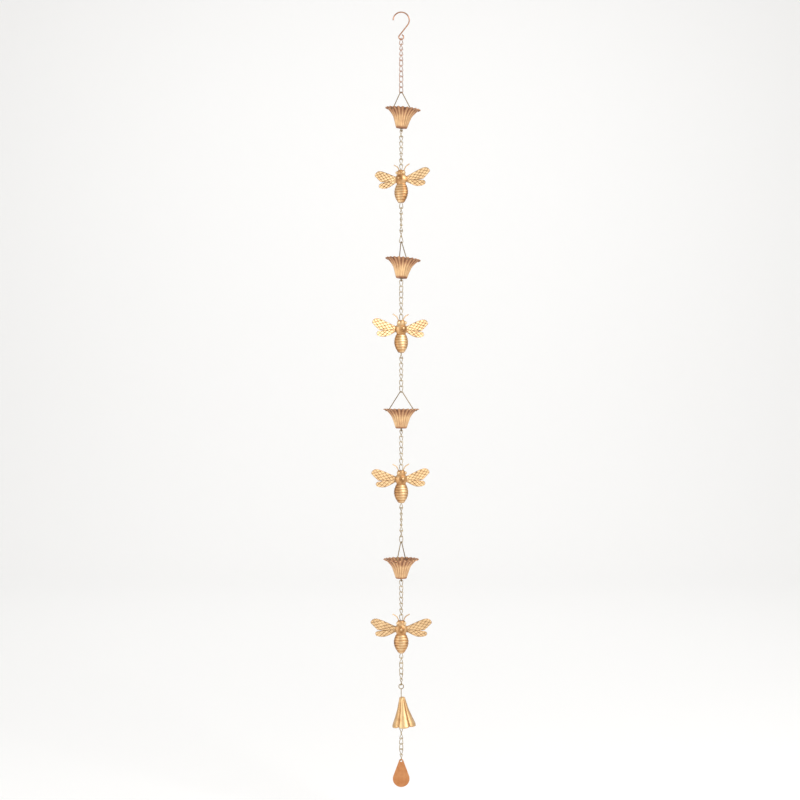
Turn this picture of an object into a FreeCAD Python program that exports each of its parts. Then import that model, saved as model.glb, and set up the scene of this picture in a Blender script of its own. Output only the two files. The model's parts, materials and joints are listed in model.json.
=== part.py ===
import FreeCAD, Part
import math
import os

# A rain chain as it hangs. Millimetres, +Z up, the front faces -Y.
# The origin is the inside top of the hook. Everything hangs below it on the Z axis.
# Round wire and pressed sheet are drawn with flat facets, few enough to keep a long chain light.

# Room between pieces
hang_gap = 0.3          # two pieces that hang in each other
seat_gap = 0.1          # two pieces that are fastened together
turn_gap = 0.35         # a bail's foot in its hole, the pin in the bell

# Facets round a wire
link_sides = 4
wire_sides = 5
arc_step = 38.0         # degrees of a bent wire's arc between two corners
plate_step = 18.0       # degrees of a cut plate's arc between two corners
punch_sides = 6         # corners of a pierced hole

# Hook
hook_wire = 3.0
hook_bow_radius = 18.9  # to the middle of the wire, like all bends below
hook_lean = 38.0        # how far the bow runs on below its right side, degrees
hook_eye_radius = 5.6
hook_eye_turn = 292.0   # how far the eye is closed, degrees

# Links
link_wire = 2.0
link_width = 9.5
link_crown = 1.7        # half of the straight stretch at each end
link_shoulder = 2.2     # height of the corner beside it
link_twist = 90.0       # from one end of a link to the other
chain_pitch = 13.4      # inside length of a link between a cup and a bee
end_pitch = 12.65       # inside length of a link above the first cup and below the last bee
step_left = 22.0        # the most a link may face to the left of the one above it, degrees
step_right = 55.0       # and to the right, where the twist makes more room

# Bails
bail_wire = 2.2
bail_height = 45.0      # top bend to feet
bail_crown = 1.4        # half of the straight stretch at the top bend
bail_shoulder = 2.0
bail_foot_in = 3.2      # from the cup's wall to the bend
bail_foot_out = 3.4     # from the cup's wall to the end

# Cups
cup_wall = 1.0
cup_flutes = 14
flute_depth = 0.085     # share of the radius
cup_profile = ((12.4, 0.0), (21.0, 26.0), (37.5, 45.2), (42.4, 43.0))
cup_hole_height = 41.0  # above the cup's bottom
cup_drain_radius = 5.6

# Eyes under the cups
eye_wire = 2.0
eye_half_width = 3.4
eye_crown = 1.6
eye_shoulder = 2.0
eye_foot = 5.2          # length of a clinched foot
eye_drop = 6.4          # cup's bottom to the inside of the bow

# Bees
bee_wall = 1.0
bee_rim = 1.3           # the open back lies this far behind the chain's axis
bee_reach = 74.4        # link to link, from under the head's roof to the tail's floor
bee_columns = 5         # facets across the back of the body
bee_front = ((0.0, 7.0, 10.6), (4.4, 10.4, 11.4), (10.5, 10.0, 11.0), (13.5, 13.2, 12.6),
             (19.5, 14.8, 14.2), (26.5, 13.6, 12.8), (32.0, 11.0, 10.4))
bee_waist = 33.6        # head's top to the start of the abdomen
bee_ribs = 4
hollow_levels = (0, 2, 4, 7, 9, 11, 13, 15)    # levels of the body that the hollow follows
rib_height = 0.7
abdomen_waist = (11.4, 10.0)    # half width and depth at the waist
abdomen_tail = (6.0, 10.6)      # and at the tail's floor
abdomen_bulge = (8.0, 3.6)      # what the middle adds
bee_hole_radius = 3.4
bee_hole_front = 4.2            # hole's middle in front of the chain's axis
bee_eye_radius = 3.6
bee_eye_place = (8.4, 7.0, 6.4)  # beside, in front of and below the head's top
bee_eye_rings = (40, 90, 140)   # degrees from the back of the eye
bee_eye_sides = 5
wing_sheet = 1.0
wing_sweep = 2.5        # degrees that each wing leans back
wing_root = 13.0        # where the wing bends off its strap
wing_level = 19.5       # rivet's height below the head's top
wing_outline = ((13.0, 5.0), (48.0, 20.4), (60.0, 23.6), (68.0, 21.8), (73.6, 15.0),
                (72.0, 10.5), (63.4, 2.6), (54.6, -6.2), (60.6, -8.8), (62.4, -13.2), (59.6, -17.6),
                (50.0, -20.8), (36.5, -20.2), (19.0, -11.6), (13.0, -8.6))
vein_height = 0.6
vein_width = 1.8
wing_veins = (((16.0, 3.0), (66.0, 18.5)), ((16.0, 0.6), (64.0, 6.6)), ((16.0, -5.0), (56.0, -13.0)))
rivet_head_radius = 4.6
rivet_crown_radius = 2.6
rivet_head_height = 2.2
rivet_radius = 1.5
rivet_tail_radius = 2.7
rivet_tail_height = 1.2
rivet_sides = 5
antenna_wire = 2.8
antenna_path = ((5.2, -7.0), (5.4, 0.6), (10.4, 9.0), (20.5, 14.2))

# Bell, pin and drop
pin_wire = 2.0
ring_radius = 5.5
pin_eye_radius = 3.6
pin_neck = 1.6          # straight run between a loop and the stem
pin_loop = 30.0         # how far from the stem a loop starts and ends, degrees
bell_drop = 29.5        # inside of the ring to the bell's crown
bell_wall = 1.0
bell_lobes = 6
lobe_columns = 4        # facets of one lobe
lobe_depth = 0.13       # share of the radius
bell_scallop = 2.5
bell_lean = 4.0
bell_profile = ((29.4, -64.5), (22.2, -50.0), (14.8, -30.5), (6.6, 0.0))
drop_sheet = 1.5
drop_radius = 20.0
drop_neck_radius = 5.2
drop_length = 66.5
drop_strip = 2.3        # sheet left above the hole
drop_hole_radius = 2.4

# What hangs where: groups of links, inside length of a link, and how the links face along the run
runs = {
    "top_chain": ((4, 3, 3), end_pitch, (135, 86)),
    "cup1_chain": ((4, 3), chain_pitch, (19, 19)),
    "bee1_chain": ((4, 3), chain_pitch, (-40, -5)),
    "cup2_chain": ((4, 3), chain_pitch, (65, 25)),
    "bee2_chain": ((4, 3), chain_pitch, (10, 47)),
    "cup3_chain": ((4, 3), chain_pitch, (30, 30)),
    "bee3_chain": ((4, 3), chain_pitch, (-15, -20)),
    "cup4_chain": ((4, 3), chain_pitch, (60, 15)),
    "bee4_chain": ((3, 3), end_pitch, (-25, -85, -130)),
    "clapper_chain": ((5, 3, 3), end_pitch, (135, 40, -140)),
}
bail_turns = (41.0, -72.5, 0.0, 70.0)
cup_tilts = (7.2, -5.0, 0.0, 0.0)
bee_turns = (-26.0, 24.0, 18.0, 0.0)


def point(x, y, z):
    return FreeCAD.Vector(x, y, z)


def cosine(degrees):
    return math.cos(math.radians(degrees))


def sine(degrees):
    return math.sin(math.radians(degrees))


def arc(centre, radius, start, end, step=arc_step):
    """Corners along an arc in the plane of a bent wire or plate, both ends included."""
    steps = max(2, math.ceil(abs(end - start) / step))
    turns = [start + (end - start) * i / steps for i in range(steps + 1)]
    return [(centre[0] + radius * cosine(t), centre[1] + radius * sine(t)) for t in turns]


def mirrored(half):
    """A path that runs up the left side and down the right one, from the points of its right side."""
    return [(-u, z) for u, z in half] + list(reversed(half))


def skin(rings, closed=False):
    """Solid over rings of corners: each ring joins the next, and open ends are closed with a face."""
    count = len(rings[0])
    corners = [corner for ring in rings for corner in ring]
    facets = []
    for band in range(len(rings) if closed else len(rings) - 1):
        near = band * count
        far = (band + 1) % len(rings) * count
        for i in range(count):
            j = (i + 1) % count
            facets.append((near + i, near + j, far + j))
            facets.append((near + i, far + j, far + i))
    if not closed:
        for ring, start in ((rings[0], 0), (rings[-1], len(corners) - count)):
            middle = sum(ring, point(0, 0, 0)) * (1 / count)
            corners.append(middle)
            facets += [(len(corners) - 1, start + i, start + (i + 1) % count) for i in range(count)]
    return solid_of(corners, facets)


def solid_of(corners, facets):
    faces = []
    for facet in facets:
        loop = [corners[i] for i in facet]
        faces.append(Part.Face(Part.makePolygon(loop + loop[:1])))
    shell = Part.makeShell(faces)
    shell.sewShape()
    solid = Part.makeSolid(shell)
    solid.fix(1e-6, 1e-6, 1e-6)
    if solid.Volume < 0:
        solid.reverse()
    return solid.removeSplitter()


def bent_wire(path, normals, wire, sides, closed=False):
    """Wire with a polygon section along a path, mitred at its corners. Normals stand across the bends."""
    rings = []
    for i, place in enumerate(path):
        before = path[i - 1] if closed or i else place
        after = path[(i + 1) % len(path)] if closed or i + 1 < len(path) else place
        arriving = (place - before) if before != place else (after - place)
        leaving = (after - place) if after != place else (place - before)
        arriving.normalize()
        leaving.normalize()
        along = arriving + leaving
        along.normalize()
        across = normals[i] - along * along.dot(normals[i])
        across.normalize()
        outward = along.cross(across) * (1 / along.dot(arriving))
        turns = [360 * k / sides for k in range(sides)]
        rings.append([place + (across * cosine(t) + outward * sine(t)) * (wire / 2) for t in turns])
    return skin(rings, closed)


def flat_wire(path, wire, closed=False):
    """Wire bent in the XZ plane."""
    places = [point(u, 0, z) for u, z in path]
    return bent_wire(places, [point(0, 1, 0)] * len(places), wire, wire_sides, closed)


def punch(radius, length, sides=punch_sides):
    """Prism along Z round the origin that clears a round piece of this radius."""
    reach = radius / cosine(180 / sides)
    turns = [360 * (k + 0.5) / sides for k in range(sides)]
    ends = (-length / 2, length / 2)
    return skin([[point(reach * cosine(t), reach * sine(t), z) for t in turns] for z in ends])


def placed(shape, place=(0, 0, 0), turn=0.0, axis=(0, 0, 1)):
    """Copy of a shape, turned about an axis through the origin and then moved."""
    copy = shape.copy()
    copy.rotate(point(0, 0, 0), point(*axis), turn)
    copy.translate(point(*place))
    return copy


def inset(profile, wall):
    """The line of a wall's other side, from (radius, height) points, at an even thickness."""
    line = []
    for i, (radius, height) in enumerate(profile):
        runs_in = [(radius - r, height - z) for r, z in profile[max(i - 1, 0):i]]
        runs_out = [(r - radius, z - height) for r, z in profile[i + 1:i + 2]]
        sides = [(-dz / math.hypot(dr, dz), dr / math.hypot(dr, dz)) for dr, dz in runs_in + runs_out]
        mean = [sum(side[k] for side in sides) / len(sides) for k in (0, 1)]
        size = wall / (mean[0] ** 2 + mean[1] ** 2)
        line.append((radius + mean[0] * size, height + mean[1] * size))
    return line


def make_hook():
    """Hook whose inside top is the origin. The second value is the contact in its eye."""
    lean = hook_bow_radius + hook_eye_radius
    bow = (0.0, hook_wire / 2 - hook_bow_radius)
    eye = (0.0, bow[1] - lean / sine(hook_lean))
    start = 180 - hook_lean
    path = arc(bow, hook_bow_radius, 180, 90) + arc(bow, hook_bow_radius, 90, -hook_lean)[1:]
    path += arc(eye, hook_eye_radius, start, start + hook_eye_turn)
    return flat_wire(path, hook_wire), eye[1] - hook_eye_radius + (hook_wire + hang_gap) / 2


def make_link(pitch):
    """Link whose upper contact is the origin and whose lower contact lies a pitch below."""
    top = (pitch + link_wire + hang_gap) / 2
    side = (link_width - link_wire) / 2
    quarter = [(side, top - link_shoulder), (link_crown, top)]
    upper = quarter + [(-u, z) for u, z in reversed(quarter)]
    loop = upper + [(-u, -z) for u, z in upper]
    path, normals = [], []
    for u, z in loop:
        turn = -link_twist * z / (2 * top)
        path.append(point(u * cosine(turn), u * sine(turn), z - pitch / 2))
        normals.append(point(-sine(turn), cosine(turn), 0))
    return bent_wire(path, normals, link_wire, link_sides, closed=True)


def cup_radius(height):
    """Outside radius of the cup's wall at a height, on a flute's crest."""
    for (r0, z0), (r1, z1) in zip(cup_profile, cup_profile[1:]):
        if z0 <= height <= z1:
            return r0 + (r1 - r0) * (height - z0) / (z1 - z0)
    return cup_profile[-1][0]


bail_hold = cup_radius(cup_hole_height)     # from the axis to the wall at the bail's holes


def make_bail():
    """Bail whose top bend lies on the origin, with its feet along X."""
    half = [(bail_hold + bail_foot_out, -bail_height), (bail_hold - bail_foot_in, -bail_height),
            (bail_crown + bail_shoulder, -bail_shoulder), (bail_crown, 0.0)]
    return flat_wire(mirrored(half), bail_wire)


def make_cup():
    """Cup whose bail holes lie on the X axis."""
    outside = list(cup_profile)
    inside = inset(cup_profile, cup_wall)
    inside[0] = (inside[0][0], cup_wall)
    count = 2 * cup_flutes
    rings = []
    for radius, height in outside + inside[::-1]:
        reach = [radius * (1 - flute_depth * (k % 2)) for k in range(count)]
        turns = [360 * k / count for k in range(count)]
        rings.append([point(r * cosine(t), r * sine(t), height) for r, t in zip(reach, turns)])
    cup = skin(rings)
    drain = punch(cup_drain_radius, 4 * cup_wall)
    drill = placed(punch(bail_wire / 2 + turn_gap, 4 * bail_hold), (0, 0, cup_hole_height), 90, (0, 1, 0))
    return placed(cup.cut(drain).cut(drill), (0, 0, -cup_hole_height))


def make_cup_eye():
    """Eye in the cup's frame, with its bow along X."""
    bottom = -cup_hole_height
    foot = bottom + cup_wall + seat_gap + eye_wire / 2
    bow = bottom - eye_drop - eye_wire / 2 - hang_gap / 2
    half = [(eye_half_width + eye_foot, foot), (eye_half_width, foot),
            (eye_half_width, bow + eye_shoulder), (eye_crown, bow)]
    return flat_wire(mirrored(half), eye_wire)


def body_ring(half_width, depth, height, open_back):
    """Half an ellipse in front of the open back, or of a plane behind it for the hollow."""
    turns = [180 * k / bee_columns for k in range(bee_columns + 1)]
    ring = [point(half_width * cosine(t), bee_rim - depth * sine(t), height) for t in turns]
    if open_back:
        back = bee_rim + bee_wall
        ring = [point(half_width, back, height)] + ring + [point(-half_width, back, height)]
    return ring


def body_stations():
    """Height below the head's top, half width and depth down the body."""
    length = bee_reach + 2 * bee_wall + hang_gap
    stations = list(bee_front)
    steps = 2 * bee_ribs
    for i in range(steps + 1):
        share = i / steps
        rise = 4 * share * (1 - share)
        wide, deep = (waist + (tail - waist) * share + bulge * rise for waist, tail, bulge
                      in zip(abdomen_waist, abdomen_tail, abdomen_bulge))
        rib = rib_height * (i % 2)
        stations.append((bee_waist + (length - bee_waist) * share, wide + rib, deep + rib))
    return stations


bee_top = bee_wall + hang_gap / 2           # head's top above the upper contact
bee_tail = -bee_reach - bee_wall - hang_gap / 2
bee_back = bee_rim + seat_gap               # front of the wings' strap


def make_bee_body():
    """Pressed body with an open back. The origin is the upper contact."""
    stations = body_stations()
    outer = skin([body_ring(wide, deep, bee_top - down, False) for down, wide, deep in stations])
    beside, front, below = bee_eye_place
    turns = [360 * k / bee_eye_sides for k in range(bee_eye_sides)]
    for side in (-1, 1):
        ball = [(bee_eye_radius * sine(t), bee_eye_radius * cosine(t)) for t in bee_eye_rings]
        rings = [[point(r * cosine(t), y, r * sine(t)) for t in turns] for r, y in ball]
        outer = outer.fuse(placed(skin(rings), (side * beside, bee_rim - front, bee_top - below)))
    inside = [(down, wide - bee_wall, deep - bee_wall) for down, wide, deep
              in (stations[level] for level in hollow_levels)]
    inside[0] = (bee_wall,) + inside[0][1:]
    inside[-1] = (inside[-1][0] - bee_wall,) + inside[-1][1:]
    hollow = skin([body_ring(wide, deep, bee_top - down, True) for down, wide, deep in inside])
    hole = punch(bee_hole_radius, 4 * bee_wall)
    body = outer.cut(hollow)
    for height in (bee_top, bee_tail):
        body = body.cut(placed(hole, (0, -bee_hole_front, height)))
    depth = max(deep for down, wide, deep in stations)
    shank = punch(rivet_radius + seat_gap, 4 * depth)
    return body.cut(placed(shank, (0, 0, bee_top - wing_level), 90, (1, 0, 0)))


def make_bee_wings():
    """Both wings and their strap behind the thorax, one stamped sheet with raised veins."""
    level = bee_top - wing_level
    wings = []
    for side in (-1, 1):
        outline = [point(side * (x - wing_root), 0, z) for x, z in wing_outline]
        wing = Part.Face(Part.makePolygon(outline + outline[:1])).extrude(point(0, wing_sheet, 0))
        for start, end in wing_veins:
            root = point(side * (start[0] - wing_root), 0, start[1])
            tip = point(side * (end[0] - wing_root), 0, end[1])
            across = (tip - root).cross(point(0, 1, 0)).normalize() * (vein_width / 2)
            ridge = point(0, -vein_height, 0)
            sunk = point(0, wing_sheet / 2, 0)
            section = [[end + across + sunk, end + ridge, end - across + sunk] for end in (root, tip)]
            wing = wing.fuse(skin(section))
        wing = placed(wing, turn=side * wing_sweep)
        wings.append(placed(wing, (side * wing_root, bee_back, level)))
    top = wing_outline[0][1]
    low = wing_outline[-1][1]
    strap = Part.makeBox(2 * wing_root, wing_sheet, top - low, point(-wing_root, bee_back, level + low))
    sheet = strap.fuse(wings).removeSplitter()
    hole = placed(punch(rivet_radius + seat_gap, 8 * wing_sheet), (0, bee_back, level), 90, (1, 0, 0))
    return sheet.cut(hole)


def make_bee_rivet():
    """Rivet through thorax and strap, with a domed head in front."""
    front = bee_rim - max(deep for down, wide, deep in bee_front) - seat_gap
    back = bee_back + wing_sheet + seat_gap
    line = [(rivet_crown_radius, front - rivet_head_height), (rivet_head_radius, front),
            (rivet_radius, front), (rivet_radius, back), (rivet_tail_radius, back),
            (rivet_tail_radius, back + rivet_tail_height)]
    turns = [360 * k / rivet_sides for k in range(rivet_sides)]
    level = bee_top - wing_level
    return skin([[point(r * cosine(t), y, level + r * sine(t)) for t in turns] for r, y in line])


def make_bee_antennae():
    """One wire bent across the back of the head, with both antennae."""
    wire = flat_wire(mirrored(list(reversed(antenna_path)))[::-1], antenna_wire)
    return placed(wire, (0, bee_back + antenna_wire / 2, bee_top))


def make_bell_pin():
    """Pin whose ring has its inside top on the origin.
    The second value is how far its lower contact hangs."""
    top = pin_wire / 2 + hang_gap / 2
    ring = (0.0, top - ring_radius)
    crown_under = -bell_drop - bell_wall - turn_gap
    eye_top = crown_under - pin_wire / 2 - pin_eye_radius * sine(bell_lean)
    eye = (0.0, eye_top - pin_eye_radius)
    path = arc(ring, ring_radius, pin_loop - 90, 270 - pin_loop) + [(0.0, ring[1] - ring_radius - pin_neck)]
    path += [(0.0, eye_top + pin_neck / 2)] + arc(eye, pin_eye_radius, 90 + pin_loop, 450 - pin_loop)
    return flat_wire(path, pin_wire), pin_eye_radius - eye[1] - pin_wire / 2 - hang_gap / 2


def make_bell():
    """Bell in the pin's frame, leaning on the pin at its crown."""
    count = bell_lobes * lobe_columns
    inside = inset(bell_profile, bell_wall)
    inside[-1] = (inside[-1][0], -bell_wall)
    mouth = bell_profile[0][1]
    rings = []
    for radius, height in inside[::-1] + list(bell_profile):
        ring = []
        for k in range(count):
            crest = abs(cosine(180 * k / lobe_columns))
            reach = radius * (1 - lobe_depth * (1 - crest))
            drop = bell_scallop * crest if height <= mouth + bell_wall else 0.0
            turn = 360 * k / count - 90
            ring.append(point(reach * cosine(turn), reach * sine(turn), height - drop))
        rings.append(ring)
    bell = skin(rings).cut(punch(pin_wire / 2 + turn_gap, 4 * bell_wall))
    return placed(bell, (0, 0, -bell_drop), -bell_lean, (0, 1, 0))


def make_drop():
    """Flat drop whose hole has its upper edge on the origin."""
    top = drop_strip + hang_gap / 2
    neck = (0.0, top - drop_neck_radius)
    bowl = (0.0, top - drop_length + drop_radius)
    lean = math.degrees(math.asin((drop_radius - drop_neck_radius) / (neck[1] - bowl[1])))
    outline = arc(neck, drop_neck_radius, lean, 180 - lean, plate_step)
    outline += arc(bowl, drop_radius, 180 - lean, 360 + lean, plate_step)
    corners = [point(u, -drop_sheet / 2, z) for u, z in outline]
    plate = Part.Face(Part.makePolygon(corners + corners[:1])).extrude(point(0, drop_sheet, 0))
    hole = punch(drop_hole_radius, 4 * drop_sheet)
    return plate.cut(placed(hole, (0, 0, hang_gap / 2 - drop_hole_radius), 90, (1, 0, 0)))


def run_turns(count, keys, first, last):
    """How each link of a run faces. The end links turn, as far as the next link lets them,
    so that their end wires take the wished directions."""
    turns = []
    for i in range(count):
        along = i * (len(keys) - 1) / (count - 1)
        key = min(int(along), len(keys) - 2)
        turns.append(keys[key] + (keys[key + 1] - keys[key]) * (along - key))
    top_step = turns[1] - turns[0]
    end_step = turns[-1] - turns[-2]
    ends = ((0, first, link_twist / 2, top_step - step_left, top_step + step_right),
            (-1, last, -link_twist / 2, -step_right - end_step, step_left - end_step))
    for i, wish, twist, least, most in ends:
        if wish is not None:
            short = (wish + twist - turns[i] + 90) % 180 - 90
            turns[i] += max(least, min(most, short))
    return turns


links = {pitch: make_link(pitch) for pitch in (chain_pitch, end_pitch)}
bail_shape = make_bail()
cup_shape = make_cup()
eye_shape = make_cup_eye()
bee_shapes = {"bee_body": make_bee_body(), "bee_wings": make_bee_wings(), "bee_rivet": make_bee_rivet(),
              "bee_antennae": make_bee_antennae()}
pieces = {}     # node name to shape
pivots = {}     # hanging piece to (what carries it, point, direction of the axis)


def axis(turn):
    return (cosine(turn), sine(turn), 0.0)


def hang_run(name, carrier, height, first, last, hold=None):
    """Hangs a run of links from a contact. The first link swings on the carrier's wire, whose thickness
    and direction are given, or else on its own. Gives the last group, its contact and wire direction."""
    groups, pitch, keys = runs[name]
    turns = run_turns(sum(groups), keys, first, last)
    wire, wire_turn = hold or (-link_wire - 2 * hang_gap, turns[0] - link_twist / 2)
    place = 0
    for number, size in enumerate(groups, 1):
        group = "%s_%d" % (name, number)
        members = range(place, place + size)
        chain = [placed(links[pitch], (0, 0, height - i * pitch), turns[i]) for i in members]
        pieces[group] = Part.makeCompound(chain)
        pivots[group] = (carrier, (0, 0, height - place * pitch - (wire + hang_gap) / 2), axis(wire_turn))
        carrier = group
        place += size
        wire, wire_turn = link_wire, turns[place - 1] + link_twist / 2
    return carrier, height - place * pitch, wire_turn


def hang_cup(number, carrier, height, wire_turn, next_run):
    """Hangs a bail, its cup and the cup's eye. Gives the contact below the cup and the eye's direction."""
    bail, cup, eye = ("%s_%d" % (word, number) for word in ("cup_bail", "cup", "cup_eye"))
    turn = bail_turns[number - 1]
    tilt = cup_tilts[number - 1]
    below = cup_hole_height + eye_drop
    lean = math.degrees(math.asin(below * sine(tilt) / bail_height))
    top = height + (bail_wire + hang_gap) / 2
    aside = bail_height * sine(lean)
    hinge = (aside * sine(turn), -aside * cosine(turn), top - bail_height * cosine(lean))
    eye_turn = runs[next_run][2][0] - link_twist / 2 + 90
    pieces[bail] = placed(placed(bail_shape, turn=-lean, axis=(1, 0, 0)), (0, 0, top), turn)
    pieces[cup] = placed(placed(cup_shape, turn=tilt, axis=(1, 0, 0)), hinge, turn)
    tilted_eye = placed(placed(eye_shape, turn=eye_turn - turn), turn=tilt, axis=(1, 0, 0))
    pieces[eye] = placed(tilted_eye, hinge, turn)
    pivots[bail] = (carrier, (0, 0, height - (link_wire + hang_gap) / 2), axis(wire_turn))
    pivots[cup] = (bail, hinge, axis(turn))
    return cup, hinge[2] - below * cosine(tilt), eye_turn


def hang_bee(number, carrier, height, wire_turn):
    """Hangs a bee by its head. Gives the contact at its tail."""
    turn = bee_turns[number - 1]
    for word, shape in bee_shapes.items():
        pieces["%s_%d" % (word, number)] = placed(shape, (0, 0, height), turn)
    bee = "bee_body_%d" % number
    pivots[bee] = (carrier, (0, 0, height - (link_wire + hang_gap) / 2), axis(wire_turn))
    return bee, height - bee_reach


def assemble():
    pieces["hook"], height = make_hook()
    bottom = hang_run("top_chain", "hook", height, 90, bail_turns[0] + 90, (hook_wire, 0))
    for number in range(1, len(bail_turns) + 1):
        across = bee_turns[number - 1] + 90
        below = "cup%d_chain" % number
        cup, height, eye_turn = hang_cup(number, *bottom, below)
        chain = hang_run(below, cup, height, None, across, (eye_wire, eye_turn))
        bee, height = hang_bee(number, *chain)
        last = bail_turns[number] + 90 if number < len(bail_turns) else 90
        bottom = hang_run("bee%d_chain" % number, bee, height, across, last)
    carrier, height, wire_turn = bottom
    pin, pin_reach = make_bell_pin()
    pieces["bell_pin"] = placed(pin, (0, 0, height))
    pieces["bell"] = placed(make_bell(), (0, 0, height))
    pivots["bell_pin"] = (carrier, (0, 0, height - (link_wire + hang_gap) / 2), axis(wire_turn))
    bottom = hang_run("clapper_chain", "bell_pin", height - pin_reach, 90, 90, (pin_wire, 0))
    carrier, height, wire_turn = bottom
    pieces["drop"] = placed(make_drop(), (0, 0, height))
    pivots["drop"] = (carrier, (0, 0, height - (link_wire + hang_gap) / 2), axis(wire_turn))


assemble()
os.makedirs("parts", exist_ok=True)
for node, shape in pieces.items():
    shape.exportStep("parts/%s.step" % node)
lowest = min(shape.BoundBox.ZMin for shape in pieces.values())
print("%d nodes, %.1f mm from the hook's inside top to the drop's tip" % (len(pieces), -lowest))
for child, (carrier, place, direction) in pivots.items():
    print("%s turns on %s at (%.2f, %.2f, %.2f)" % (child, carrier, *place))
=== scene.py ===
# %% [markdown]
# # A rain chain with cups, bees and a bell
# A rain chain hangs from a gutter and leads the water down. The solids of this one already hang in
# place, faceted and plain. In this lesson each of them gets a smooth, detailed piece of the same
# size on the same spot, and a finish like old plated metal. The solids come first, as the frame to
# work in.

# %% Load the frame
import json
import math

import bmesh
import bpy
import numpy as np
from mathutils import Matrix, Vector


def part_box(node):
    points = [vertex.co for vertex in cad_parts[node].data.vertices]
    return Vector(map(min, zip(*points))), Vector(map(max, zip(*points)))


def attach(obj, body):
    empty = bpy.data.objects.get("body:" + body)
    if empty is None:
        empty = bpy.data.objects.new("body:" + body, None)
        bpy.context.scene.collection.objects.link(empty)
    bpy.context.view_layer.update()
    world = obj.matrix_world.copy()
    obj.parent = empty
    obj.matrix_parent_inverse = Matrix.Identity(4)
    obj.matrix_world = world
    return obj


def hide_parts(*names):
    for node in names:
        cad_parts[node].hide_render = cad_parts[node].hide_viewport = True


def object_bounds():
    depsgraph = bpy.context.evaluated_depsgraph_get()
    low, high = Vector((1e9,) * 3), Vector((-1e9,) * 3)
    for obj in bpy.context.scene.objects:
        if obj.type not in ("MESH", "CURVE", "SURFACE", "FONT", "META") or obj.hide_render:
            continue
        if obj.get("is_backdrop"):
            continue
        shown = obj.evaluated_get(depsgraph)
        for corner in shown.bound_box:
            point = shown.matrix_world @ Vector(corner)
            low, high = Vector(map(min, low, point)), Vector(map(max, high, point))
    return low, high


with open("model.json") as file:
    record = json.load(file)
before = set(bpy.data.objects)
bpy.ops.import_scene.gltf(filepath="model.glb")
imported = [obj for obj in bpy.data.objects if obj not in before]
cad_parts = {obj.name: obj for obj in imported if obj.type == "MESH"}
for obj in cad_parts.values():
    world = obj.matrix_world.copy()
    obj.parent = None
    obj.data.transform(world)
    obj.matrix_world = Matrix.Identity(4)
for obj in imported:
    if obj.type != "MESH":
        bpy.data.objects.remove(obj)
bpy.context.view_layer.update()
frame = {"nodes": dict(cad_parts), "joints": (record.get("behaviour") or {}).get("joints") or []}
pivots = {joint["child"]: joint for joint in frame["joints"]}
mm = 0.001
print("frame:", len(frame["nodes"]), "solids,", len(pivots), "hinges")

# %% [markdown]
# ## Three small habits
# Loading leaves every solid selected, and an operator works on all that is selected. So each piece
# starts by deselecting everything. Inside edit mode, points are picked in code by where they lie.
# At the end the doubles are merged and the normals are turned outwards, because a spin can turn a
# wall inside out.


# %% Helpers for modelling
merge_distance = 0.005 * mm


def start_piece():
    if bpy.context.object and bpy.context.object.mode == "EDIT":
        bpy.ops.object.mode_set(mode="OBJECT")
    bpy.ops.object.select_all(action="DESELECT")


def edit_new(name):
    """Names the primitive that was just added, applies its turn and opens it for editing."""
    piece = bpy.context.object
    piece.name = name
    bpy.ops.object.transform_apply(location=True, rotation=True, scale=True)
    bpy.ops.object.mode_set(mode="EDIT")
    bpy.context.tool_settings.mesh_select_mode = (True, False, False)
    bpy.ops.mesh.select_all(action="SELECT")
    return piece


def pick(piece, test):
    """Selects the points for which the test of their place holds."""
    mesh = bmesh.from_edit_mesh(piece.data)
    for vert in mesh.verts:
        vert.select = bool(test(vert.co))
    mesh.select_flush_mode()
    bmesh.update_edit_mesh(piece.data)


def close_piece(piece, smooth=50):
    """Merges doubles, turns the faces outwards and shades all but sharp edges smooth."""
    bpy.ops.mesh.select_all(action="SELECT")
    bpy.ops.mesh.remove_doubles(threshold=merge_distance)
    bpy.ops.mesh.normals_make_consistent(inside=False)
    bpy.ops.object.mode_set(mode="OBJECT")
    start_piece()
    piece.select_set(True)
    bpy.context.view_layer.objects.active = piece
    bpy.ops.object.shade_smooth_by_angle(angle=math.radians(smooth))


def apply_modifier(piece, kind, **settings):
    bpy.context.view_layer.objects.active = piece
    modifier = piece.modifiers.new(kind.lower(), kind)
    for key, value in settings.items():
        setattr(modifier, key, value)
    bpy.ops.object.modifier_apply(modifier=modifier.name)


def copy_of(master, name, place):
    """A copy with a mesh of its own, moved inside its mesh."""
    piece = master.copy()
    piece.data = master.data.copy()
    piece.name = name
    piece.data.transform(place)
    bpy.context.collection.objects.link(piece)
    return piece


def join(name, pieces):
    start_piece()
    for piece in pieces:
        piece.select_set(True)
    bpy.context.view_layer.objects.active = pieces[0]
    if len(pieces) > 1:
        bpy.ops.object.join()
    pieces[0].name = name
    return pieces[0]


def size_of(piece):
    return [round(v / mm, 1) for v in piece.dimensions]


def solid_size(node):
    low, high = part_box(node)
    return [round((b - a) / mm, 1) for a, b in zip(low, high)]


def mark(piece, rule):
    """Writes a value from 0 to 1 for each point, for the finish to read: how far it is rubbed bright, and
    on the cups and the bell painted shade and painted light as well.
    """
    attributes = piece.data.attributes
    wear_and_shading = attributes.get("wear_and_shading") or attributes.new("wear_and_shading", "FLOAT", "POINT")
    wear_and_shading.data.foreach_set("value", [min(1.0, max(0.0, rule(v.co))) for v in piece.data.vertices])


def dress(piece, node, body, material):
    """Gives a finished piece its finish and its body, and hides the solid that it stands for."""
    piece.data.materials.clear()
    piece.data.materials.append(material)
    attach(piece, body)
    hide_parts(node)
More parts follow.
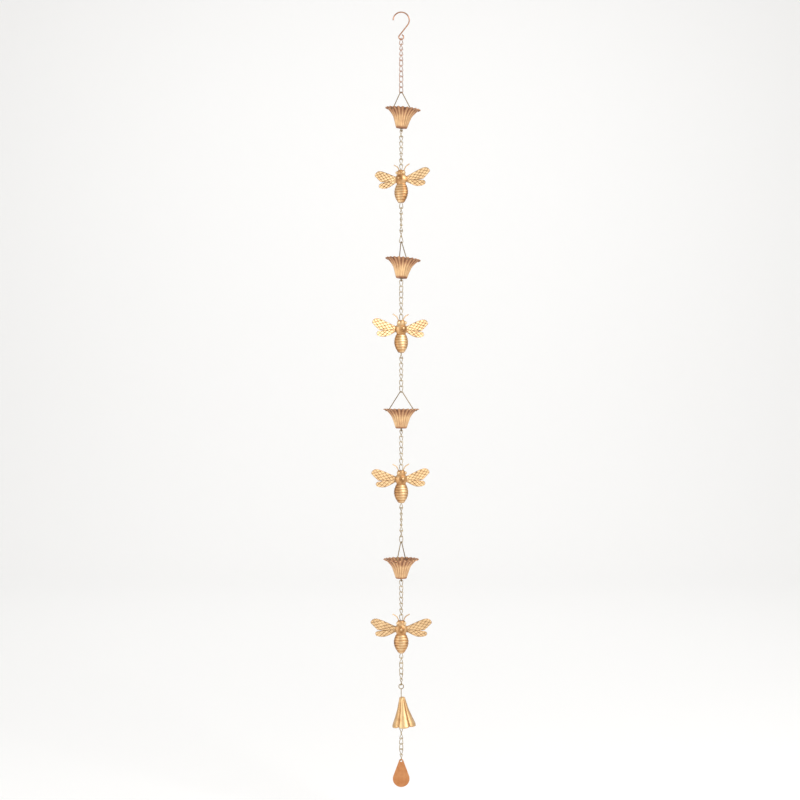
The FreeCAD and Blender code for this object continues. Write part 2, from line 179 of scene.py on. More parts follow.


# %% [markdown]
# ## The finishes
# The real metal is plated, then darkened and rubbed back, so that raised places shine and hollows
# stay brown, and lacquered at last. Paint on top of the metal would look flat. Here the base is a
# metal shader under a thin coat, and its colour runs from a dark to a rubbed tone by a noise and by
# the "wear_and_shading" value that each mesh carries. On the cups and the bell this value also holds
# painted shade and painted light. The noises read Object coordinates, so that the patina stays on
# the piece.


# %% A recipe for patinated metal
def linear(colour):
    return tuple((c / 255) ** 2.2 for c in colour) + (1.0,)


def patina(name, dark, body, bright, rough, tarnish):
    """Metal in three tones, given as they look: in the hollows, on the surface and where it is rubbed.
    Where a piece's marks hold painted shade or painted light, the dark and the bright tone carry these too.
    """
    material = bpy.data.materials.new(name)
    material.use_nodes = True
    nodes, links = material.node_tree.nodes, material.node_tree.links
    shader = nodes["Principled BSDF"]
    shader.inputs["Metallic"].default_value = 1.0
    shader.inputs["Coat Weight"].default_value = 0.4
    shader.inputs["Coat Roughness"].default_value = 0.35
    place = nodes.new("ShaderNodeTexCoord")
    clouds = nodes.new("ShaderNodeTexNoise")
    clouds.inputs["Scale"].default_value = 55.0
    clouds.inputs["Detail"].default_value = 6.0
    clouds.inputs["Roughness"].default_value = 0.62
    grain = nodes.new("ShaderNodeTexNoise")
    grain.inputs["Scale"].default_value = 900.0
    grain.inputs["Detail"].default_value = 3.0
    wear_and_shading = nodes.new("ShaderNodeAttribute")
    wear_and_shading.attribute_name = "wear_and_shading"
    tone = nodes.new("ShaderNodeMath")
    tone.operation = "MULTIPLY_ADD"
    tone.inputs[1].default_value = tarnish
    ramp = nodes.new("ShaderNodeValToRGB")
    ramp.color_ramp.elements[0].position = 0.18
    ramp.color_ramp.elements[0].color = linear(dark)
    ramp.color_ramp.elements[1].position = 1.0
    ramp.color_ramp.elements[1].color = linear(bright)
    middle = ramp.color_ramp.elements.new(0.52)
    middle.color = linear(body)
    share = nodes.new("ShaderNodeMath")
    share.operation = "MULTIPLY_ADD"
    share.inputs[1].default_value = 0.75
    share.inputs[2].default_value = -0.12
    gloss = nodes.new("ShaderNodeMapRange")
    gloss.inputs["To Min"].default_value = rough + 0.1
    gloss.inputs["To Max"].default_value = rough - 0.1
    bump = nodes.new("ShaderNodeBump")
    bump.inputs["Strength"].default_value = 0.16
    bump.inputs["Distance"].default_value = 0.3 * mm
    links.new(place.outputs["Object"], clouds.inputs["Vector"])
    links.new(place.outputs["Object"], grain.inputs["Vector"])
    links.new(wear_and_shading.outputs["Fac"], share.inputs[0])
    links.new(clouds.outputs["Fac"], tone.inputs[0])
    links.new(share.outputs["Value"], tone.inputs[2])
    links.new(tone.outputs["Value"], ramp.inputs["Fac"])
    links.new(ramp.outputs["Color"], shader.inputs["Base Color"])
    links.new(tone.outputs["Value"], gloss.inputs["Value"])
    links.new(gloss.outputs["Result"], shader.inputs["Roughness"])
    links.new(grain.outputs["Fac"], bump.inputs["Height"])
    links.new(bump.outputs["Normal"], shader.inputs["Normal"])
    return material


copper_wire = patina("copper_wire", (84, 54, 40), (166, 114, 84), (214, 166, 134), 0.46, 0.8)
brass_wire = patina("brass_wire", (72, 58, 36), (150, 126, 86), (212, 192, 148), 0.46, 0.8)
cup_brass = patina("cup_brass", (104, 68, 50), (186, 134, 98), (246, 208, 156), 0.5, 0.8)
bee_gold = patina("bee_gold", (98, 60, 34), (196, 146, 94), (240, 214, 170), 0.54, 0.8)
wing_gold = patina("wing_gold", (70, 42, 24), (192, 144, 96), (250, 216, 166), 0.54, 0.6)
bell_gold = patina("bell_gold", (88, 56, 32), (186, 134, 84), (232, 196, 144), 0.56, 0.9)
drop_copper = patina("drop_copper", (140, 84, 50), (196, 128, 78), (224, 166, 116), 0.6, 0.9)
print("finishes:", len(bpy.data.materials))

# %% [markdown]
# ## Bent wire
# Hook, bails, eyes, pin and antennae are all round wire, bent over a former. A curve with a bevel
# could do it, but the bends here are true arcs, so the wire is made as a smith makes it: a ring of
# points as the section, extruded along each straight run and spun round each bend.


# %% Helpers for wire
wire_corners = 14
bend_step = 9.0     # degrees
wire_share = 0.97   # a little slimmer than the solid, to stay inside it


def start_wire(name, place, along, wire, corners=wire_corners):
    """Opens a section of the wire that looks along a direction."""
    start_piece()
    turn = Vector((0, 0, 1)).rotation_difference(Vector(along)).to_euler()
    bpy.ops.mesh.primitive_circle_add(vertices=corners, radius=wire / 2 * mm, fill_type="NOTHING",
                                      location=Vector(place) * mm, rotation=turn)
    return edit_new(name)


def run_wire(vector):
    bpy.ops.mesh.extrude_region_move(TRANSFORM_OT_translate={"value": Vector(vector) * mm})


def bend_wire(centre, axis, degrees, step=bend_step):
    steps = max(3, round(abs(degrees) / step))
    bpy.ops.mesh.spin(steps=steps, angle=-math.radians(degrees), center=Vector(centre) * mm, axis=axis)


def end_wire(piece):
    """Closes the two cut ends, unless they meet, and finishes the wire."""
    bpy.ops.mesh.select_all(action="SELECT")
    bpy.ops.mesh.remove_doubles(threshold=merge_distance)
    bpy.ops.mesh.select_all(action="DESELECT")
    bpy.ops.mesh.select_non_manifold(extend=False, use_wire=False, use_boundary=True, use_multi_face=False,
                                     use_non_contiguous=False, use_verts=False)
    bpy.ops.mesh.fill_holes(sides=0)
    close_piece(piece)


def shape_wire(name, wire, corners, radii, sides=wire_corners, step=bend_step):
    """Wire in the XZ plane through corners, each rounded with its radius."""
    points = [Vector((u, 0, z)) for u, z in corners]
    place = points[0]
    heading = (points[1] - place).normalized()
    piece = start_wire(name, place, heading, wire, sides)
    for corner, following, radius in zip(points[1:], points[2:], radii):
        leaving = (following - corner).normalized()
        side = Vector((-heading.z, 0, heading.x))
        turn = math.atan2(leaving.dot(side), leaving.dot(heading))
        cut = radius * math.tan(abs(turn) / 2)
        run_wire(corner - heading * cut - place)
        left = math.copysign(1, turn)
        centre = corner - heading * cut + side * left * radius
        bend_wire(centre, (0, -left, 0), math.degrees(abs(turn)), step)
        place = corner + leaving * cut
        heading = leaving
    run_wire(points[-1] - place)
    end_wire(piece)
    return piece


def mirrored(half):
    """Corners of a whole wire from those of its right half, listed from the end inwards."""
    return [(-u, z) for u, z in half] + list(reversed(half))


# %% [markdown]
# ## The hook
# A question mark of thick copper wire. Its bow goes over the gutter's hanger, and the small eye
# below carries the chain. One spin makes the bow, a second one the eye, turning the other way.

# %% Bend the hook
hook_wire = 3.0
hook_bow = 18.9
hook_eye = 5.6
hook_lean = 38.0
hook_eye_turn = 292
slope = math.radians(hook_lean)
bow_height = hook_wire / 2 - hook_bow
eye_height = bow_height - (hook_bow + hook_eye) / math.sin(slope)
hook = start_wire("hook_wire", (-hook_bow, 0, bow_height), (0, 0, 1), wire_share * hook_wire)
bend_wire((0, 0, bow_height), (0, 1, 0), 180 + hook_lean)
run_wire((-(hook_bow + hook_eye) * math.cos(slope), 0,
          eye_height - bow_height + (hook_bow + hook_eye) * math.sin(slope)))
bend_wire((0, 0, eye_height), (0, -1, 0), hook_eye_turn)
end_wire(hook)
mark(hook, lambda co: 0.45 + 0.2 * math.sin(co.z * 400))
dress(hook, "hook", "hook", copper_wire)
print("hook:", size_of(hook), "solid:", solid_size("hook"))

# %% [markdown]
# ## The links
# Each link is an oblong of wire with a quarter twist, so that the chain hangs straight although
# every link is the same. A flattened torus could do, but its narrow ends would leave the next link
# no room to swing. So the wire is run round four corners until its ends meet, the legs get cuts,
# and the twist is a Simple Deform. The wire is slimmer than the solid's and its corners are tight,
# so that links don't cut each other when they swing. One link of each length is made and then
# copied.

# %% Model one link
link_wire = 2.0
link_width = 9.5
link_gap = 0.3
link_corner = 1.9
link_slim = 0.79
link_sides = 10
link_bend_step = 18
leg_cuts = 3
link_twist = 90.0
pitches = {"cup": 13.4, "end": 12.65}


def model_link(name, pitch):
    wire = link_slim * link_wire
    side = (link_width - wire) / 2
    half = (pitch + link_wire + link_gap) / 2
    corners = [(side, 0), (side, half), (-side, half), (-side, -half), (side, -half), (side, 0)]
    link = shape_wire(name, wire, corners, [link_corner] * 4, link_sides, link_bend_step)
    bpy.ops.object.mode_set(mode="EDIT")
    mesh = bmesh.from_edit_mesh(link.data)
    bpy.ops.mesh.select_all(action="DESELECT")
    for edge in mesh.edges:
        edge.select = edge.calc_length() > link_corner * mm
    bmesh.update_edit_mesh(link.data)
    bpy.ops.mesh.subdivide(number_cuts=leg_cuts)
    close_piece(link, 180)
    apply_modifier(link, "SIMPLE_DEFORM", deform_method="TWIST", deform_axis="Z",
                   angle=math.radians(link_twist * (half + link_wire / 2) / half))
    return link


link_masters = {word: model_link("link_" + word, pitch) for word, pitch in pitches.items()}
for word, link in link_masters.items():
    mark(link, lambda co: 0.35 + 0.3 * abs(co.z) / (9 * mm))
    print("link for", word, ":", len(link.data.polygons), "faces")

# %% [markdown]
# ## Where each link faces
# Every link in the solids stands at its own turn. A link's top bend is short and straight, so the
# direction of the points there tells how the link faces. The same is read from the copy's master,
# and the difference is the turn that the copy needs.


# %% Copy the links into their runs
crown_depth = 1.15 * mm
crown_reach = 2.75 * mm


def bend_direction(points, top):
    """Direction, in radians, of the wire that bends over just below a height."""
    reach = np.hypot(points[:, 0], points[:, 1])
    high = points[(points[:, 2] > top - crown_depth) & (reach < crown_reach)]
    spread = high[:, :2] - high[:, :2].mean(0)
    along = np.linalg.svd(spread)[2][0]
    return math.atan2(along[1], along[0])


def corners_of(piece):
    points = np.zeros(len(piece.data.vertices) * 3)
    piece.data.vertices.foreach_get("co", points)
    return points.reshape(-1, 3)


link_count = 0
for node in sorted(name for name in frame["nodes"] if "_chain_" in name):
    word = "end" if node.startswith(("top", "bee4", "clapper")) else "cup"
    master, pitch = link_masters[word], pitches[word] * mm
    low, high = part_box(node)
    over = (link_wire + link_gap / 2) * mm
    count = round((high.z - low.z - 2 * over) / pitch)
    solid = corners_of(frame["nodes"][node])
    own = bend_direction(corners_of(master), max(v.co.z for v in master.data.vertices))
    row = []
    for i in range(count):
        top = high.z - i * pitch
        turn = bend_direction(solid[solid[:, 2] < top + 0.2 * mm], top) - own
        place = Matrix.Translation((0, 0, top - over - pitch / 2)) @ Matrix.Rotation(turn, 4, "Z")
        row.append(copy_of(master, node + "_link", place))
    chain = join(node + "_links", row)
    if node.startswith("top"):
        dress(chain, node, node, copper_wire)
    else:
        dress(chain, node, node, brass_wire)
    link_count += count
print("links:", link_count)

# %% [markdown]
# ## The cups
# Each cup is pressed from sheet, with flutes that widen from a small foot to a flared, turned-down
# lip. A screw or a curve could give the round shape. Here a ring of points is extruded ring by
# ring, like raising a bowl. Then each column of points is drawn in a little, which makes the flutes
# on all heights at once, and the lip's points are lifted on the crests, so that it ripples. First
# come the two tools for it.


# %% Helpers for raised sheet
sheet_share = 0.9   # of the solid's thickness
same_angle = 0.01


def raise_rings(name, columns, profile):
    """A wall over rings of points, from (radius or (radius across, radius deep), height) pairs."""
    start_piece()
    sizes = [(r if isinstance(r, tuple) else (r, r)) + (z,) for r, z in profile]
    bpy.ops.mesh.primitive_circle_add(vertices=columns, radius=mm, fill_type="NOTHING",
                                      location=(0, 0, sizes[0][2] * mm))
    piece = edit_new(name)
    across, deep = 1.0, 1.0
    for i, (wide, thick, height) in enumerate(sizes):
        if i:
            rise = (height - sizes[i - 1][2]) * mm
            bpy.ops.mesh.extrude_region_move(TRANSFORM_OT_translate={"value": (0, 0, rise)})
        bpy.ops.transform.resize(value=(wide / across, thick / deep, 1),
                                 center_override=(0, 0, height * mm))
        across, deep = wide, thick
    return piece


def in_column(co, turn):
    return abs(math.remainder(math.atan2(co.y, co.x) - turn, 2 * math.pi)) < same_angle


def flute(piece, columns, shape):
    """Draws each column of points in or out by a share that depends on its angle."""
    for i in range(columns):
        turn = 2 * math.pi * i / columns
        share = shape(turn)
        if abs(share - 1) > 1e-6:
            pick(piece, lambda co: in_column(co, turn))
            bpy.ops.transform.resize(value=(share, share, 1), center_override=(0, 0, 0))


# %% [markdown]
# ## One cup
# The sheet has a drain hole in its floor, so the first ring is that hole's edge. When wall and lip
# are shaped, Solidify gives the sheet its thickness inwards. One long drill through both sides cuts
# the holes that the bail's feet turn in. It stops short of the lip.

# %% Raise one cup
cup_flutes = 22
flute_columns = 8
flute_depth = 0.085
lip_ripple = 0.8
lip_start = 43.0
cup_hole_height = 41.0
bail_hole = 1.5
drill_reach = 38.0
cup_wall = 1.0
cup_line = ((5.6, 0.0), (9.4, 0.0), (11.6, 0.2), (12.4, 1.0), (13.9, 5.5), (16.0, 12.0), (18.3, 18.5),
            (20.9, 25.6), (24.4, 31.2), (28.8, 36.4), (33.0, 40.6), (36.4, 43.8), (38.4, 45.0),
            (40.2, 45.1), (41.6, 44.4), (42.3, 43.2))
cup_columns = cup_flutes * flute_columns
cup = raise_rings("cup_wall", cup_columns, cup_line)
flute(cup, cup_columns, lambda turn: 1 - flute_depth * (1 - math.cos(cup_flutes * turn)) / 2)
for i in range(cup_columns):
    turn = 2 * math.pi * i / cup_columns
    pick(cup, lambda co: co.z > lip_start * mm and in_column(co, turn))
    bpy.ops.transform.translate(value=(0, 0, lip_ripple * math.cos(cup_flutes * turn) * mm))
close_piece(cup)
apply_modifier(cup, "SOLIDIFY", thickness=sheet_share * cup_wall * mm, offset=-1)
apply_modifier(cup, "BEVEL", width=0.25 * mm, segments=2, limit_method="ANGLE",
               angle_limit=math.radians(60))
start_piece()
bpy.ops.mesh.primitive_cylinder_add(vertices=24, radius=bail_hole * mm, depth=2 * drill_reach * mm,
                                    rotation=(0, math.radians(90), 0),
                                    location=(0, 0, cup_hole_height * mm))
drill = bpy.context.object
apply_modifier(cup, "BOOLEAN", object=drill, operation="DIFFERENCE", solver="EXACT")
bpy.data.objects.remove(drill)
print("cup:", len(cup.data.polygons), "faces")

# %% [markdown]
# ## Rubbing the cups, with painted shade on the flare
# The wall is rubbed bright below the flare. The flare itself gets painted shade: it runs darker
# towards the lip, as it faces down. The grooves near the lip and the edge of the foot keep the dark
# patina. The angle of a point tells whether it lies on a crest, and its height where on the wall it
# is.


# %% Mark the wear and the painted shade, and hang the cups
cup_height = 45


def cup_wear_and_shading(co):
    crest = (1 + math.cos(cup_flutes * math.atan2(co.y, co.x))) / 2
    height = co.z / (cup_height * mm)
    if height < 0.1:
        return 0.1
    if height < 0.6:
        return 0.5 + 0.4 * crest
    # Above 0.6 of the height the flare runs darker towards the lip: painted shade, as it faces down.
    return max(0.05, 1.4 - 1.6 * height) + 0.45 * crest


mark(cup, cup_wear_and_shading)
cup.data.transform(Matrix.Translation((0, 0, -cup_hole_height * mm)))


def upright(x_axis, up, place):
    """Placement whose Z looks up and whose X lies along an axis across it."""
    z_axis = up.normalized()
    y_axis = z_axis.cross(x_axis).normalized()
    x_axis = y_axis.cross(z_axis)
    turn = Matrix((x_axis, y_axis, z_axis)).transposed().to_4x4()
    return Matrix.Translation(place) @ turn


cups = (1, 2, 3, 4)
cup_places = {}
for n in cups:
    hinge = Vector(pivots["cup_%d" % n]["pos_m"])
    across = Vector(pivots["cup_%d" % n]["axis"])
    below = Vector(pivots["cup%d_chain_1" % n]["pos_m"])
    cup_places[n] = upright(across, hinge - below, hinge)
    piece = copy_of(cup, "cup_%d_sheet" % n, cup_places[n])
    dress(piece, "cup_%d" % n, "cup_%d" % n, cup_brass)
print("cups hung:", len(cup_places))

# %% [markdown]
# ## Bails and eyes
# A bail is a handle of wire: two feet in the cup's wall, two legs and a tight bend on top for the
# chain. The eye under the cup is a staple, clinched inside. Both lie in one plane, so they are run
# from corner to corner like the links.

# %% Bend one bail and one eye
bail_wire = 2.2
bail_height = 45.0
wall_reach = 33.9
foot_in = wall_reach - 3.2
foot_out = wall_reach + 3.4
foot_bend = 2.4
shoulder = (3.4, -2.0)
rise = math.atan2(bail_height + shoulder[1], foot_in - shoulder[0])
apex = shoulder[1] + shoulder[0] * math.tan(rise)
top_bend = (shoulder[0] * math.sin(rise) + shoulder[1] * math.cos(rise)) / (1 - math.cos(rise))
bail = shape_wire("bail_wire", wire_share * bail_wire,
                  [(-foot_out, -bail_height), (-foot_in, -bail_height), (0, apex), (foot_in, -bail_height),
                   (foot_out, -bail_height)], (foot_bend, top_bend, foot_bend))
eye_wire = 2.0
eye_half = 3.4
eye_foot_length = 5.2
eye_drop = 6.4
eye_foot = cup_wall + 0.1 + eye_wire / 2 - cup_hole_height
eye_bow = -cup_hole_height - eye_drop - (eye_wire + link_gap) / 2
eye = shape_wire("eye_wire", wire_share * eye_wire,
                 mirrored([(eye_half + eye_foot_length, eye_foot), (eye_half, eye_foot),
                           (eye_half, eye_bow)]),
                 (1.3, 2.6, 2.6, 1.3))
for wire in (bail, eye):
    mark(wire, lambda co: 0.4 + 0.2 * math.sin(co.z * 300))
    print(wire.name, size_of(wire))

# %% [markdown]
# ## Hanging them on the cups
# A bail stands between two hinges: the link above and the two holes in the cup. An eye belongs to
# the cup, so it moves with the cup's body. Both take their place from the hinges, and not from
# typed numbers.

# %% Hang the bails and the eyes
for n in cups:
    hinge = Vector(pivots["cup_%d" % n]["pos_m"])
    hold = Vector(pivots["cup_bail_%d" % n]["pos_m"])
    top = hold + Vector((0, 0, (link_wire + bail_wire + 2 * link_gap) / 2 * mm))
    place = upright(Vector(pivots["cup_%d" % n]["axis"]), top - hinge, top)
    piece = copy_of(bail, "cup_bail_%d_wire" % n, place)
    dress(piece, "cup_bail_%d" % n, "cup_bail_%d" % n, brass_wire)
    below = Vector(pivots["cup%d_chain_1" % n]["pos_m"])
    place = upright(Vector(pivots["cup%d_chain_1" % n]["axis"]), hinge - below, hinge)
    piece = copy_of(eye, "cup_eye_%d_wire" % n, place)
    dress(piece, "cup_eye_%d" % n, "cup_%d" % n, brass_wire)
print("bails and eyes:", 2 * len(cups))

# %% [markdown]
# ## The bees' bodies
# Each bee is pressed from one sheet and open at the back: a head, a round thorax and a ribbed
# abdomen. It is raised like the cup, but with oval rings. Then it is cut in half with a bisect,
# closed at head and tail, and thickened. The ribs are rings that stand a little proud.

# %% Raise one body
bee_rim = 1.3
bee_wall = 1.0
bee_length = 76.7
bee_columns = 48
bee_waist = 33.6
bee_ribs = 7
front_line = ((0.0, 3.0, 5.0), (0.0, 5.9, 9.2), (0.5, 7.0, 10.4), (1.8, 8.6, 11.0),
              (4.4, 10.3, 11.4), (7.6, 10.5, 11.4), (9.6, 10.0, 10.9), (10.6, 9.8, 10.7),
              (11.6, 10.9, 11.3), (13.5, 13.0, 12.5), (16.0, 14.3, 13.6), (19.5, 14.8, 14.1),
              (23.2, 14.5, 13.6), (26.5, 13.5, 12.7), (29.6, 12.1, 11.4), (32.0, 11.0, 10.4))


def abdomen(share):
    """Half width and depth at a share of the way from waist to tail."""
    bulge = 4 * share * (1 - share)
    return 11.4 - 5.4 * share + 8.0 * bulge, 10.0 + 0.6 * share + 3.6 * bulge


body_line = list(front_line)
rib_steps = 4
rib_height = 0.75
cap_reach = 6.1
for i in range(bee_ribs * rib_steps + 1):
    share = i / (bee_ribs * rib_steps)
    wide, deep = abdomen(share)
    rib = rib_height * math.sin(math.pi * (i % rib_steps) / rib_steps) ** 1.5
    body_line.append((bee_waist + (bee_length - bee_waist) * share, wide + rib, deep + rib))
body_line += [(bee_length, 0.55 * wide, 0.55 * deep)]
bee = raise_rings("bee_wall", bee_columns, [((wide, deep), -down) for down, wide, deep in body_line])
for height in (0.0, -bee_length):
    pick(bee, lambda co: abs(co.z - height * mm) < 0.02 * mm
         and math.hypot(co.x, co.y) < cap_reach * mm)
    bpy.ops.mesh.edge_face_add()
bpy.ops.mesh.select_all(action="SELECT")
bpy.ops.transform.translate(value=(0, bee_rim * mm, 0))
bpy.ops.mesh.bisect(plane_co=(0, bee_rim * mm, 0), plane_no=(0, 1, 0), clear_outer=True)
close_piece(bee, 40)
apply_modifier(bee, "SOLIDIFY", thickness=sheet_share * bee_wall * mm, offset=-1)
print("bee:", len(bee.data.polygons), "faces", size_of(bee))

# %% [markdown]
# ## Holes, eyes and wear
# A link goes through a hole in the head and another one through the tail, so two cutters are taken
# away with a Boolean. They are a little wider than deep, so that the link can swing. The eyes are
# bosses: balls, flattened and sunk into the head. Eyes and ribs are marked as rubbed bright, a ring
# round the rivet and the abdomen's sides as dark.

# %% Finish the body
hole_radius = 3.7
hole_front = 4.2
hole_stretch = 1.25
for height in (0.0, -bee_length):
    start_piece()
    bpy.ops.mesh.primitive_cylinder_add(vertices=28, radius=hole_radius * mm, depth=5 * mm,
                                        location=(0, -hole_front * mm, height * mm))
    cutter = bpy.context.object
    cutter.scale.x = hole_stretch
    apply_modifier(bee, "BOOLEAN", object=cutter, operation="DIFFERENCE", solver="EXACT")
    bpy.data.objects.remove(cutter)


wing_level = 19.5   # the rivet's height below the head's top
ring_dark = 6.4     # radius of the dark ring round it


def body_wear(co):
    down = -co.z / mm
    across = abs(co.x) / mm
    if down < bee_waist:
        groove = math.exp(-((math.hypot(across, down - wing_level) - ring_dark) / 1.6) ** 2)
        return 0.36 + 0.2 * math.cos((down - 16) / 8) - 0.4 * groove
    share = (down - bee_waist) / (bee_length - bee_waist)
    rib = math.sin(math.pi * (share * bee_ribs % 1)) ** 2
    return max(0.12, 0.38 + 0.45 * rib - 0.5 * (across / abdomen(share)[0]) ** 2)


mark(bee, body_wear)
eyes = []
for side in (-1, 1):
    start_piece()
    spot = (side * 8.4 * mm, (bee_rim - 7.0) * mm, -6.4 * mm)
    bpy.ops.mesh.primitive_uv_sphere_add(segments=24, ring_count=14, radius=3.6 * mm, location=spot)
    ball = edit_new("bee_eye")
    bpy.ops.transform.resize(value=(0.95, 0.95, 1.1), center_override=spot)
    close_piece(ball)
    mark(ball, lambda co: 0.75)
    eyes.append(ball)
bee = join("bee_wall", [bee] + eyes)

# %% [markdown]
# ## The wings
# Both wings are stamped from one sheet, with cells that stand proud of a net of grooves. Painted
# cells would look flat from the side. Here a grid of lozenges is cut to the wing's outline with
# bisects, one for each edge of the outline.

# %% Cut the wing patches
wing_root = 13.0
wing_sheet = 1.0
bee_back = bee_rim + 0.1
fore_wing = ((13.0, 5.0), (48.0, 20.4), (60.0, 23.6), (68.0, 21.8), (73.6, 15.0), (72.0, 10.5), (63.4, 2.6),
             (54.6, -6.2), (13.0, -2.5))
hind_wing = ((13.0, -2.5), (54.6, -6.2), (60.6, -8.8), (62.4, -13.2), (59.6, -17.6), (50.0, -20.8),
             (36.5, -20.2), (19.0, -11.6), (13.0, -8.6))


def rounded(outline):
    """Cuts the outline's corners once, but keeps its root square."""
    line = []
    for (x0, z0), (x1, z1) in zip(outline, outline[1:]):
        line += [(0.75 * x0 + 0.25 * x1, 0.75 * z0 + 0.25 * z1),
                 (0.25 * x0 + 0.75 * x1, 0.25 * z0 + 0.75 * z1)]
    return [outline[0]] + line[1:-1] + [outline[-1]]


net_cells = 13
net_size = 110 * mm
net_stretch = (1.05, 0.68, 1)
net_middle = Vector((43 * mm, 0, 2 * mm))


def cut_patch(name, outline, tilt):
    """A net of lozenges inside the outline, flat in the XZ plane."""
    start_piece()
    bpy.ops.mesh.primitive_grid_add(x_subdivisions=net_cells, y_subdivisions=net_cells, size=net_size,
                                    rotation=(0, 0, math.radians(45)))
    patch = edit_new(name)
    bpy.ops.transform.resize(value=net_stretch, center_override=(0, 0, 0))
    bpy.ops.object.mode_set(mode="OBJECT")
    patch.data.transform(Matrix.Translation(net_middle) @ Matrix.Rotation(-math.radians(tilt), 4, "Y")
                         @ Matrix.Rotation(math.radians(90), 4, "X"))
    bpy.ops.object.mode_set(mode="EDIT")
    centre = Vector((sum(x for x, z in outline), 0, sum(z for x, z in outline))) / len(outline)
    for (x0, z0), (x1, z1) in zip(outline, outline[1:] + outline[:1]):
        normal = Vector((z1 - z0, 0, x0 - x1))
        if normal.dot(centre - Vector((x0, 0, z0))) > 0:
            normal = -normal
        bpy.ops.mesh.select_all(action="SELECT")
        bpy.ops.mesh.bisect(plane_co=Vector((x0, 0, z0)) * mm, plane_no=normal.normalized(),
                            clear_outer=True)
    bpy.ops.mesh.select_all(action="SELECT")
    bpy.ops.mesh.remove_doubles(threshold=0.25 * mm)
    bpy.ops.object.mode_set(mode="OBJECT")
    return patch


patches = [cut_patch("fore_patch", rounded(fore_wing), 19),
           cut_patch("hind_patch", rounded(hind_wing), -8)]
for patch in patches:
    print(patch.name, len(patch.data.polygons), "cells")

# %% [markdown]
# ## Stamping and bending the wings
# Every lozenge is inset and raised, so that a groove stays between two of them, and the sheet is
# thickened. The raised cells are marked bright, the grooves dark. One wing is made. Its mirror
# image needs its normals flipped. A strap behind the thorax joins the two, and each wing leans back
# a little from it.


# %% Raise the cells
groove_half = 1.2 * mm
cell_rise = 0.45 * mm


def stamped(patch):
    start_piece()
    patch.select_set(True)
    bpy.context.view_layer.objects.active = patch
    bpy.ops.object.mode_set(mode="EDIT")
    bpy.context.tool_settings.mesh_select_mode = (False, False, True)
    bpy.ops.mesh.select_all(action="SELECT")
    bpy.ops.mesh.inset(thickness=groove_half, depth=cell_rise, use_individual=True,
                       use_even_offset=False)
    bpy.ops.object.mode_set(mode="OBJECT")
    mark(patch, lambda co: 0.95 if co.y < -0.2 * mm else 0.0)
    apply_modifier(patch, "SOLIDIFY", thickness=0.45 * wing_sheet * mm, offset=-1)
    bpy.ops.object.shade_smooth_by_angle(angle=math.radians(20))
    return patch


# %% Bend and mirror the wing
wing_scale = 0.985
wing = join("wing_right", [stamped(patch) for patch in patches])
wing.data.transform(Matrix.Diagonal((wing_scale, 1, wing_scale, 1))
                    @ Matrix.Translation((-wing_root * mm, 0, 0)))
sweep = math.radians(2.5)
right = copy_of(wing, "wing_right_bent", Matrix.Rotation(sweep, 4, "Z"))
left = copy_of(wing, "wing_left_bent",
               Matrix.Rotation(-sweep, 4, "Z") @ Matrix.Diagonal((-1, 1, 1, 1)))
left.data.flip_normals()
sheet_depth = (bee_back + wing_sheet / 2) * mm
for side, half in ((1, right), (-1, left)):
    half.data.transform(Matrix.Translation((side * wing_root * mm, sheet_depth, -wing_level * mm)))
bpy.data.objects.remove(wing)
strap_middle = (0, sheet_depth, (-wing_level - 1.8) * mm)
strap_height = 13.4
start_piece()
bpy.ops.mesh.primitive_cube_add(size=1, location=strap_middle)
strap = edit_new("wing_strap")
bpy.ops.transform.resize(value=(2 * wing_root * mm, wing_sheet * mm, strap_height * mm),
                         center_override=strap_middle)
close_piece(strap)
apply_modifier(strap, "BEVEL", width=0.3 * mm, segments=2)
mark(strap, lambda co: 0.3)
wings = join("bee_wings", [strap, right, left])
print("wings:", len(wings.data.polygons), "faces", size_of(wings))

# %% [markdown]
# ## Rivet and antennae
# A rivet holds the wings behind the thorax, and its domed head shows in front. It is a small turned
# piece, so it is raised in rings too and then laid down. The antennae are one stout wire, bent
# across the back of the head.

# %% Turn the rivet and bend the antennae
rivet_front = 14.2 - bee_rim + 0.1
rivet_back = -(bee_back + wing_sheet + 0.1)
rivet_line = [(0.4, rivet_front + 2.2), (1.8, rivet_front + 2.0), (3.1, rivet_front + 1.4),
              (4.1, rivet_front + 0.6), (4.5, rivet_front), (1.5, rivet_front), (1.5, rivet_back),
              (2.6, rivet_back), (2.5, rivet_back - 0.9), (1.2, rivet_back - 1.2)]
rivet = raise_rings("bee_rivet", 28, rivet_line[::-1])
for height in (rivet_line[0][1], rivet_line[-1][1]):
    pick(rivet, lambda co: abs(co.z - height * mm) < 0.01 * mm)
    bpy.ops.mesh.edge_face_add()
close_piece(rivet, 40)
rivet.data.transform(Matrix.Translation((0, 0, -wing_level * mm))
                     @ Matrix.Rotation(math.radians(90), 4, "X"))
mark(rivet, lambda co: 1.0 - 0.22 * math.hypot(co.x, co.z + wing_level * mm) / mm)
antenna_wire = 2.8
antenna_slim = 0.9
antennae = shape_wire("bee_antennae", antenna_slim * antenna_wire,
                      mirrored([(20.3, 14.0), (10.8, 9.0), (6.2, 0.6), (5.8, -7.0)]),
                      (12, 9, 1.8, 1.8, 9, 12))
antennae.data.transform(Matrix.Translation((0, (bee_back + antenna_wire / 2) * mm, 0)))
mark(antennae, lambda co: 0.35 + 0.3 * (co.z > 0))
print("rivet", len(rivet.data.polygons), "antennae", len(antennae.data.polygons), "faces")

# %% [markdown]
# ## Hanging the bees
# The bees don't all face the same way. The solids know: the wings are long and flat, so the
# direction in which their points spread tells how a bee is turned.


# %% Copy the bees
def wing_turn(node):
    spread = corners_of(frame["nodes"][node])[:, :2]
    spread = spread - spread.mean(0)
    along = np.linalg.svd(spread, full_matrices=False)[2][0]
    return math.atan(along[1] / along[0])


